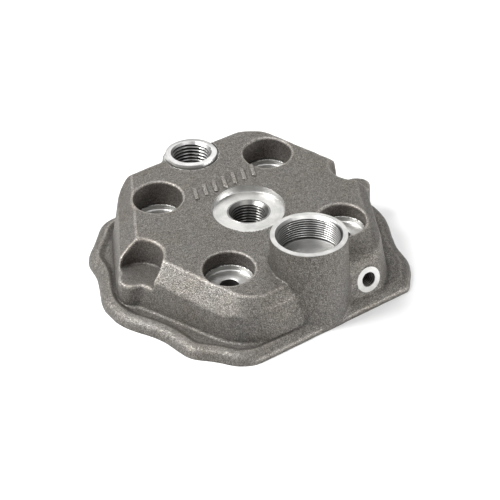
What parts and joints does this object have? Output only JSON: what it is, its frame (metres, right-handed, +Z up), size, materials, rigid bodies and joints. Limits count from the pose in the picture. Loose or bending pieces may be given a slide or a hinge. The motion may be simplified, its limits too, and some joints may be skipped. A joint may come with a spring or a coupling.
{
  "type": "cylinder head",
  "caption": "Water-cooled two-stroke cylinder head: cast aluminium body with threaded plug port, thermostat housing, outlet bush, bleed port and deck seals.",
  "frame": {"origin": "centre of the square of stud holes, on the spark plug axis, in the plane of the machined deck face", "axes": "+Z up along the spark plug axis, -Y toward the thermostat port and the straight flange edge, +Y toward the coolant outlet"},
  "size_m": [0.1239, 0.1105, 0.034],
  "materials": {
    "cast_aluminium": "rough as-cast, machined bright at seats and rims",
    "insert_metal": "turned",
    "bush_metal": "turned",
    "seal_rubber": "satin"
  },
  "bodies": {
    "root": {"head_casting": "cast_aluminium", "plug_thread_insert": "insert_metal", "outlet_port_bush": "bush_metal", "combustion_oring": "seal_rubber", "coolant_oring": "seal_rubber"}
  },
  "joints": []
}
